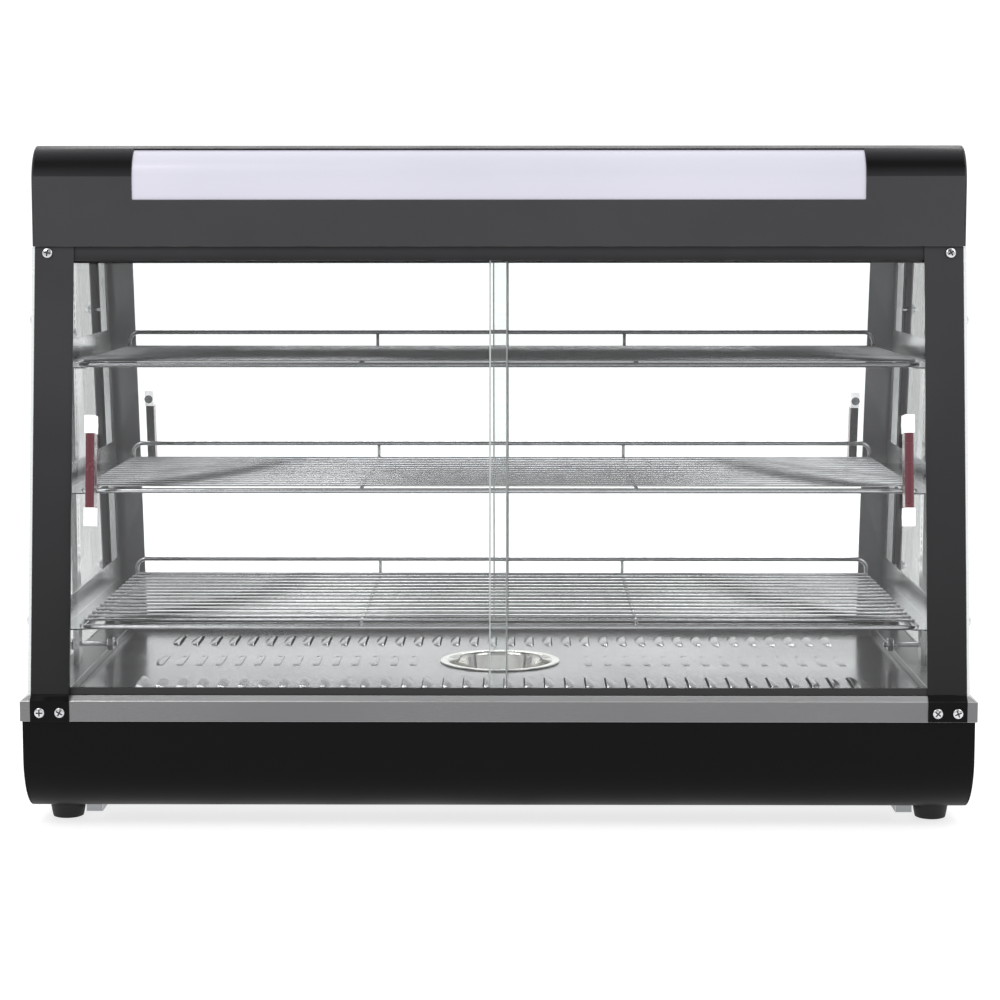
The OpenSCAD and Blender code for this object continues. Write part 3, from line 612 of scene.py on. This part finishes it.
HOOD_R = 35 * MM
# degrees around the hood's roll: where it starts, and the top edge of the sign's window
ROLL_START = 8
SIGN_TOP = 64
# width in degrees of the black painted shade line along the sign window's top edge
SIGN_EDGE = 2.4


def hood_shell():
    """The shell, its roll and top in their own darker copy of the coat with a painted shade band, and a
    black painted shade line along the sign's top edge.
    """
    low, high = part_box("hood_shell")
    sign_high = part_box("light_panel")[1]
    bm = round_edges(cad_mesh("hood_shell"), 0.7 * MM, 3)
    for face in bm.faces:
        middle = face.calc_center_median()
        up, out = middle.z - (high.z - HOOD_R), low.y + HOOD_R - middle.y
        angle = math.degrees(math.atan2(up, out))
        # painted shade: hood faces along the sign window's top edge take black
        window_edge_painted_shade = abs(middle.x) < sign_high.x and abs(angle - SIGN_TOP) < SIGN_EDGE
        on_roll = ROLL_START < angle < 180 - ROLL_START
        face.material_index = 2 if window_edge_painted_shade else int(on_roll)
    place(bm, "hood_shell_skin", ["hood_coat", "roll_painted_shade_coat", "base_coat"], "hood_shell")


def deck_frame():
    """The deck; its sloping edge, which faces up, is painted a little brighter than its rim as painted
    light.
    """
    bm = round_edges(cad_mesh("deck_frame"), 0.5 * MM, 3)
    for face in bm.faces:
        face.normal_update()
        face.material_index = 1 if face.normal.z > 0.5 else 0
    place(bm, "deck_frame_skin", ["deck_steel", "ledge_painted_light_steel"], "deck_frame")


def dress_post(node):
    """A post whose foot is painted deeper black as painted shade and, at the rear, whose inner side is
    painted paler as painted light.
    """
    low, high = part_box(node)
    side = 1 if low.x + high.x > 0 else -1
    rear = low.y + high.y > 0
    foot_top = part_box("deck_frame")[1].z + 1.5 * MM
    bm = round_edges(cad_mesh(node), 0.6 * MM, 3)
    for face in bm.faces:
        face.normal_update()
        inward = face.normal.y < -0.5 or face.normal.x * side < -0.5
        # painted shade: the foot faces take the nearly black base coat
        if face.calc_center_median().z < foot_top:
            face.material_index = 1
        # painted light: the rear posts' inner faces take a paler coat
        elif rear and inward:
            face.material_index = 2
    place(bm, node + "_skin", ["post_coat", "base_coat", "inner_painted_light_coat"], node)


# ---------- glass ----------

PANE_HOLE = 20 * MM


def glaze(node, ground, edge):
    """A pane whose edges are ground over that width."""
    bm = round_edges(cad_mesh(node), ground * MM, 2, shortest=PANE_HOLE)
    broad = max(bm.faces, key=lambda f: f.calc_area()).normal.copy()
    for face in bm.faces:
        face.normal_update()
        face.material_index = 0 if abs(face.normal.dot(broad)) > 0.95 else 1
    place(bm, node + "_glass", ["clear_glass", edge], node)


# ---------- shelves ----------

FRAME_WIRE = 5 * MM
DECK_WIRE = 3 * MM
GUARD_WIRE = 4.6 * MM
CROSS_WIRE = 3.5 * MM
DECK_COUNT = 15
DECK_INSET = 26 * MM
CROSS_X = 134 * MM
FRAME_DROP = 4.5 * MM
CORNER_R = 9 * MM
BEND_R = 7 * MM


def wire_shelf(node):
    """A frame of wire with its deck wires, two cross wires and the guard along the rear."""
    low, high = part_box(node)
    r = FRAME_WIRE / 2
    frame_z = low.z + r
    guard_z = high.z - GUARD_WIRE / 2
    deck_z = frame_z + FRAME_DROP - DECK_WIRE / 2
    hx, y0, y1 = high.x - r, low.y + r, high.y - r
    bm = bmesh.new()
    corners = [(hx, y0), (hx, y1), (-hx, y1), (-hx, y0)]
    loop = []
    for i, (x, y) in enumerate(corners):
        before, after = corners[i - 1], corners[(i + 1) % 4]
        path = rounded_path([(*before, frame_z), (x, y, frame_z), (*after, frame_z)], CORNER_R)
        loop += path[1:-1]
    add_tube(bm, loop, r, 16, closed=True)
    first = y0 + DECK_INSET
    step = (y1 - 8 * MM - first) / (DECK_COUNT - 1)
    for n in range(DECK_COUNT):
        y = first + n * step
        add_tube(bm, [Vector((x, y, deck_z)) for x in (-hx - 0.4 * MM, 0, hx + 0.4 * MM)], DECK_WIRE / 2)
    g = GUARD_WIRE / 2
    guard = [(-hx, y1, frame_z), (-hx, y1, guard_z), (hx, y1, guard_z), (hx, y1, frame_z)]
    add_tube(bm, rounded_path(guard, 10 * MM, 8), g, 14)
    for side in (-1, 1):
        x = side * CROSS_X
        cross_z = frame_z + 0.6 * MM
        bend = [(x, y0, cross_z), (x, y1, cross_z), (x, y1, guard_z)]
        add_tube(bm, rounded_path(bend, BEND_R), CROSS_WIRE / 2)
    # painted shade: the top shelf takes a darker chrome
    look = "painted_shade_chrome" if node == "top_shelf" else "chrome"
    place(bm, node + "_wires", look, node, smooth=60, weigh=False)


# ---------- floor and pan ----------

LOUVRES = 36
LOUVRE_PITCH = 20.05 * MM
LOUVRE_LEN = 60 * MM
LOUVRE_W = 9 * MM
LOUVRE_H = 3.2 * MM
LOUVRE_LOW_H = 1.0 * MM
SLIT_BEYOND = 1.3 * MM
LOUVRE_ROW_Y = 125 * MM
PAN_CLEAR = 76 * MM


def louvre_places():
    """Where each louvre lies, and the side it opens to."""
    for row in (-1, 0, 1):
        for i in range(LOUVRES):
            x = (i - (LOUVRES - 1) / 2) * LOUVRE_PITCH
            if row or abs(x) > PAN_CLEAR:
                yield x, row * LOUVRE_ROW_Y, -1 if row < 0 else 1


def add_louvre(bm, x, y, facing, top, height):
    """A pressed half-lens hood over its slit, open on its straight side."""
    along, across, skin = 12, 5, 0.8 * MM
    upper, lower = [], []
    for j in range(along + 1):
        v = -1 + 2 * j / along
        swell = max(0.0, 1 - abs(v) ** 3.2) ** 0.5
        rows = ([], [])
        for i in range(across + 1):
            u = i / across
            px = x + facing * (LOUVRE_W / 2 - u * LOUVRE_W * max(swell, 0.06))
            py = y + v * LOUVRE_LEN / 2
            rise = (height - 0.1 * MM) * swell * math.cos(u * math.pi / 2) ** 0.8
            rows[0].append(bm.verts.new((px, py, top + 0.05 * MM + rise)))
            rows[1].append(bm.verts.new((px, py, top + 0.05 * MM + rise - skin)))
        upper.append(rows[0])
        lower.append(rows[1])
    for grid in (upper, lower):
        for a, b in zip(grid, grid[1:]):
            for i in range(across):
                bm.faces.new((a[i], a[i + 1], b[i + 1], b[i]))
    for i in (0, across):
        for (a, b), (c, d) in zip(zip(upper, upper[1:]), zip(lower, lower[1:])):
            bm.faces.new((a[i], b[i], d[i], c[i]))
    for j in (0, along):
        for i in range(across):
            bm.faces.new((upper[j][i], upper[j][i + 1], lower[j][i + 1], lower[j][i]))


def chamber_floor():
    """The floor plate with its slits cut, a louvre over each, and the hole for the pan."""
    low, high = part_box("chamber_floor")
    top = high.z - LOUVRE_H
    pan_low, pan_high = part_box("water_pan")
    plate = bmesh.new()
    add_box(plate, (low.x, low.y, top - 1.2 * MM), (high.x, high.y, top))
    slits = bmesh.new()
    for x, y, facing in louvre_places():
        beyond = SLIT_BEYOND if y else 0
        near, far = x + facing * (LOUVRE_W / 2 + beyond), x - facing * (LOUVRE_W / 2 - 3 * MM)
        add_box(slits, (min(near, far), y - LOUVRE_LEN / 2 + 1 * MM, top - 5 * MM),
                (max(near, far), y + LOUVRE_LEN / 2 - 1 * MM, top + 5 * MM))
    hole = (pan_high.x - pan_low.x) / 2 - 7 * MM
    add_lathe(slits, [(0, top - 5 * MM), (hole, top - 5 * MM), (hole, top + 5 * MM), (0, top + 5 * MM)], 72)
    bm = carve(plate, slits)
    for x, y, facing in louvre_places():
        add_louvre(bm, x, y, facing, top, LOUVRE_H if y else LOUVRE_LOW_H)
    place(bm, "chamber_floor_sheet", "floor_steel", "chamber_floor", smooth=35)


def water_pan():
    """Spun cup with a rolled rim."""
    low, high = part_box("water_pan")
    r, top, bottom = (high.x - low.x) / 2, high.z, low.z
    roll = 0.8 * MM
    profile = [(0, bottom), (r - 22 * MM, bottom), (r - 17 * MM, bottom + 0.8 * MM),
               (r - 14.2 * MM, bottom + 4 * MM), (r - 9 * MM, top - 4.5 * MM),
               (r - 7.6 * MM, top - 2 * roll), (r - 0.9 * MM, top - 2 * roll)]
    profile += [(r - roll + roll * math.cos(a), top - roll + roll * math.sin(a))
                for a in (math.radians(d) for d in range(-60, 91, 30))]
    profile += [(r - 6.5 * MM, top - 0.1 * MM), (r - 8.6 * MM, top - 0.9 * MM),
                (r - 10.2 * MM, top - 4.5 * MM), (r - 15.2 * MM, bottom + 4.6 * MM),
                (r - 18 * MM, bottom + 1.8 * MM), (r - 22 * MM, bottom + 1 * MM), (0, bottom + 1 * MM)]
    bm = bmesh.new()
    add_lathe(bm, profile, 96)
    place(bm, "water_pan_cup", "pan_steel", "water_pan", smooth=50)


# ---------- screws and feet ----------

def screw_mesh(head_d, head_h, shank_d, shank_len):
    """Domed pan head with a cross recess, standing on the origin, its shank below."""
    r, s = head_d / 2, shank_d / 2
    dome = [(r * math.cos(a) ** 0.7, head_h * (0.35 + 0.65 * math.sin(a)))
            for a in (math.radians(d) for d in range(0, 90, 15))]
    head = bmesh.new()
    add_lathe(head, [(0, -shank_len), (s * 0.6, -shank_len), (s, -shank_len + s * 0.6), (s, 0),
                     (r * 0.96, 0), (r, head_h * 0.12)] + dome + [(0, head_h)], 32)
    cross = bmesh.new()
    arm, slot = head_d * 0.34, head_d * 0.07
    deep = head_h * 0.3
    add_box(cross, (-arm, -slot, deep), (arm, slot, head_h * 2))
    blade = bmesh.new()
    add_box(blade, (-slot, -arm, deep), (slot, arm, head_h * 2))
    head = carve(carve(head, cross), blade)
    # painted shade: the faces inside the cross recess take black plastic
    for face in head.faces:
        middle = face.calc_center_median()
        painted_recess_shade = middle.z < head_h * 0.7 and math.hypot(middle.x, middle.y) < arm * 1.05
        face.material_index = 1 if painted_recess_shade and middle.z > 0 else 0
    return head


def islands(node):
    """The bounding box of each separate solid in a CAD node."""
    bm = welded(node)
    boxes = [box_of(solid) for solid in separate(bm)]
    bm.free()
    return sorted(boxes, key=lambda b: tuple(round(c, 4) for c in b[0]))


def stamp(bm, pattern, matrix):
    """Adds a moved copy of a mesh."""
    mesh = bpy.data.meshes.new("stamp")
    pattern.to_mesh(mesh)
    mesh.transform(matrix)
    bm.from_mesh(mesh)
    bpy.data.meshes.remove(mesh)


TILT = math.atan(0.155)  # how far the front and the rear of the chamber lean


def facing_matrix(point, way, spin=0.0):
    """Puts local +Z along way at the point, turned about it by spin."""
    turn = Vector(way).to_track_quat("Z", "Y").to_matrix().to_4x4()
    return Matrix.Translation(point) @ turn @ Matrix.Rotation(spin, 4, "Z")


def case_screws():
    """The screws of the posts' feet, the posts' tops and the rubber feet."""
    tab = screw_mesh(9.6 * MM, 2 * MM, 4 * MM, 7.5 * MM)
    top = screw_mesh(9.6 * MM, 2 * MM, 3.6 * MM, 1.6 * MM)
    foot = screw_mesh(9 * MM, 3 * MM, 5 * MM, 17 * MM)
    bm = bmesh.new()
    deck_low, deck_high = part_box("deck_frame")
    for n, (low, high) in enumerate(islands("case_screws")):
        middle = (low + high) / 2
        outward = -1 if middle.y < 0 else 1
        spin = 0.7 * n
        if middle.z < deck_low.z - 50 * MM or high.z < 30 * MM:
            stamp(bm, foot, facing_matrix((middle.x, middle.y, low.z + 3 * MM), (0, 0, -1), spin))
        elif middle.z < deck_high.z:
            face = low.y + 2 * MM if outward < 0 else high.y - 2 * MM
            stamp(bm, tab, facing_matrix((middle.x, face, middle.z), (0, outward, 0), spin))
        else:
            way = Vector((0, outward * math.cos(TILT), math.sin(TILT)))
            outer = low.y if outward < 0 else high.y
            root = Vector((middle.x, outer, middle.z)) - way * 1.95 * MM
            stamp(bm, top, facing_matrix(root, way, spin))
    for pattern in (tab, top, foot):
        pattern.free()
    place(bm, "cross_screws", ["screw_chrome", "black_plastic"], "case_screws", smooth=35)


def side_fixings():
    """Washers with domed nuts through the side glass."""
    bm = bmesh.new()
    for low, high in islands("side_fixings"):
        middle = (low + high) / 2
        outward = -1 if middle.x < 0 else 1
        inner = high.x if outward < 0 else low.x
        tip = low.x if outward < 0 else high.x
        glass = tip - outward * 5.4 * MM
        span = abs(tip - inner)
        reach = abs(glass - inner)
        profile = [(0, -reach), (1.9 * MM, -reach), (2.5 * MM, -reach + 0.6 * MM), (2.5 * MM, 0),
                   (6.3 * MM, 0), (6.5 * MM, 0.3 * MM), (6.5 * MM, 1.5 * MM), (6.0 * MM, 2.1 * MM),
                   (5.2 * MM, 2.3 * MM), (4.9 * MM, 3.0 * MM), (4.3 * MM, 4.2 * MM),
                   (3.2 * MM, 5.0 * MM), (1.7 * MM, 5.35 * MM), (0, span - reach)]
        where = facing_matrix((glass, middle.y, middle.z), (outward, 0, 0))
        add_lathe(bm, profile, 32, where)
        if abs(middle.y) < 5 * MM:
            nut = [(0, -reach + 4 * MM), (6.6 * MM, -reach + 4 * MM), (7.2 * MM, -reach + 4.6 * MM),
                   (7.2 * MM, -reach + 9.4 * MM), (6.6 * MM, -reach + 10 * MM), (0, -reach + 10 * MM)]
            add_lathe(bm, nut, 6, where)
    place(bm, "side_cap_nuts", "screw_chrome", "side_fixings", smooth=35)


def rubber_feet():
    """Tapered feet with a recess for the screw."""
    bm = bmesh.new()
    for low, high in islands("rubber_feet"):
        top_r = (high.x - low.x) / 2
        foot_r, h = top_r - 2.5 * MM, high.z - low.z
        profile = [(2.7 * MM, h - 0.3 * MM), (2.7 * MM, 6 * MM), (5.3 * MM, 6 * MM), (5.5 * MM, 0.4 * MM),
                   (5.9 * MM, 0), (foot_r - 1.6 * MM, 0), (foot_r - 0.4 * MM, 0.5 * MM), (foot_r, 1.6 * MM),
                   (foot_r + 0.9 * MM, 6 * MM), (top_r - 0.3 * MM, h - 1.2 * MM), (top_r, h - 0.9 * MM),
                   (top_r, h - 0.3 * MM), (top_r - 0.3 * MM, h), (3 * MM, h), (2.7 * MM, h - 0.3 * MM)]
        middle = (low + high) / 2
        add_lathe(bm, profile, 48, Matrix.Translation((middle.x, middle.y, low.z)))
        bmesh.ops.remove_doubles(bm, verts=bm.verts, dist=FINE_WELD)
    place(bm, "foot_pads", "rubber", "rubber_feet", smooth=40)


# ---------- handles ----------

SCREW_FLANGE = 9 * MM


def handle_blocks(node):
    """White end blocks and, apart from them, the bright screws through the glass."""
    bm = cad_mesh(node)
    screws = bmesh.new()
    blocks = bmesh.new()
    for verts in separate(bm):
        low, high = box_of(verts)
        target = blocks if high.x - low.x > SCREW_FLANGE + 0.2 * MM else screws
        copies = {v: target.verts.new(v.co) for v in verts}
        for face in dict.fromkeys(f for v in verts for f in v.link_faces):
            target.faces.new([copies[v] for v in face.verts])
    bm.free()
    place(round_edges(blocks, 1.4 * MM, 3), node + "_blocks", "white_plastic", node)
    place(round_edges(screws, 0.4 * MM, 2), node + "_screws", "screw_chrome", node, slot="chrome")


def grip_bar(node):
    """Maroon bar; its flat back, towards the pane, is dark grey."""
    low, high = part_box(node)
    outward = -1 if low.y + high.y < 0 else 1
    bm = round_edges(cad_mesh(node), 0.4 * MM, 2)
    for face in bm.faces:
        face.normal_update()
        face.material_index = 1 if face.normal.y * outward < -0.8 else 0
    place(bm, node + "_bar", ["maroon_grip", "grip_back"], node)


# ---------- controls ----------

def dial_face():
    """White dial with a ring of marks, in the thermometer's case."""
    low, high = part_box("thermometer_case")
    middle = (low + high) / 2
    back = high.y - 9.4 * MM
    bm = bmesh.new()
    where = facing_matrix((middle.x, back, middle.z), (0, 1, 0))
    add_lathe(bm, [(1.2 * MM, 0.9 * MM), (1.2 * MM, 0), (20.6 * MM, 0), (20.8 * MM, 0.3 * MM),
                   (20.6 * MM, 0.5 * MM), (3 * MM, 0.5 * MM), (2.6 * MM, 0.9 * MM),
                   (1.2 * MM, 0.9 * MM)], 72, where)
    bmesh.ops.remove_doubles(bm, verts=bm.verts, dist=FINE_WELD)
    place(bm, "thermometer_dial", "dial_white", "thermometer_case", slot="white_plastic")
    marks = bmesh.new()
    for i in range(28):
        turn = math.radians(-135 + 10 * i)
        long = i % 3 == 0
        verts = add_box(marks, (-0.25 * MM, (14.5 if long else 16.5) * MM, 0.45 * MM),
                        (0.25 * MM, 19 * MM, 0.62 * MM))
        bmesh.ops.transform(marks, matrix=where @ Matrix.Rotation(turn, 4, "Z"), verts=verts)
    place(marks, "thermometer_marks", "dial_black", "thermometer_case", slot="black_plastic")


# ---------- assembly ----------

make_camera()
make_room()
LOOKS = make_materials()
make_floor()
soft_light("key", (-1.6, -1.9, 2.6), (0, 0, 0.3), (1.6, 1.6), 34)
soft_light("fill", (1.9, -1.5, 2.2), (0, 0, 0.3), (1.6, 1.6), 22)
soft_light("back", (0, 2.2, 2.6), (0, 0, 0.2), (2.4, 1.2), 46)

DRESSED = [
    ("hood_coat", 0.7, 3, ["hood_ends"]),
    ("post_coat", 0.4, 2, ["front_head_rail", "rear_head_rail"]),
    ("base_coat", 0.5, 3, ["base_front_panel", "base_end_panels", "rear_panel", "control_tray"]),
    ("track_plastic", 0.3, 2, ["front_lower_track", "rear_lower_track"]),
    ("rail_steel", 0.3, 2, ["shelf_standards", "shelf_rails"]),
    ("deck_steel", 0.3, 2, ["ceiling_panel"]),
    ("lit_acrylic", 0.3, 2, ["light_panel"]),
    ("zinc", 0.4, 2, ["bottom_plate", "underside_brackets"]),
    ("black_plastic", 0.5, 2, ["thermostat_knob", "rocker_housings", "cable_gland"]),
    ("red_plastic", 0.5, 2, ["heat_rocker"]),
    ("green_plastic", 0.5, 2, ["light_rocker"]),
    ("amber_lens", 0.3, 2, ["indicator_lamp"]),
    ("chrome", 0.6, 3, ["thermometer_case"]),
    ("needle_red", 0.1, 1, ["thermometer_needle"]),
    ("clear_glass", 0.4, 2, ["thermometer_lens"]),
]
for look, width, segments, nodes in DRESSED:
    for node in nodes:
        dress(node, look, width, segments)
for node in ("front_door_left", "front_door_right", "rear_door_left", "rear_door_right"):
    glaze(node, 1.5, "door_edge")
for node in ("side_glass_left", "side_glass_right"):
    glaze(node, 0.4, "side_edge")
for end in ("front", "rear"):
    for side in SIDES:
        dress_post(f"{end}_post_{side}")
for node in ("top_shelf", "middle_shelf", "bottom_shelf"):
    wire_shelf(node)
hood_shell()
deck_frame()
chamber_floor()
water_pan()
case_screws()
side_fixings()
rubber_feet()
for end in ("front", "rear"):
    for side in SIDES:
        handle_blocks(f"{end}_{side}_handle_ends")
        grip_bar(f"{end}_{side}_grip")
dial_face()

replaced = {node for obj in bpy.data.objects for node in obj.get("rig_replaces", [])}
for node, obj in frame["nodes"].items():
    if node not in replaced:
        look = SLOT_LOOK.get(SLOT_OF[node], SLOT_OF[node])
        obj.data.materials.clear()
        obj.data.materials.append(LOOKS[look])

scene = bpy.context.scene
scene.view_settings.view_transform = "Standard"
scene.view_settings.look = "None"
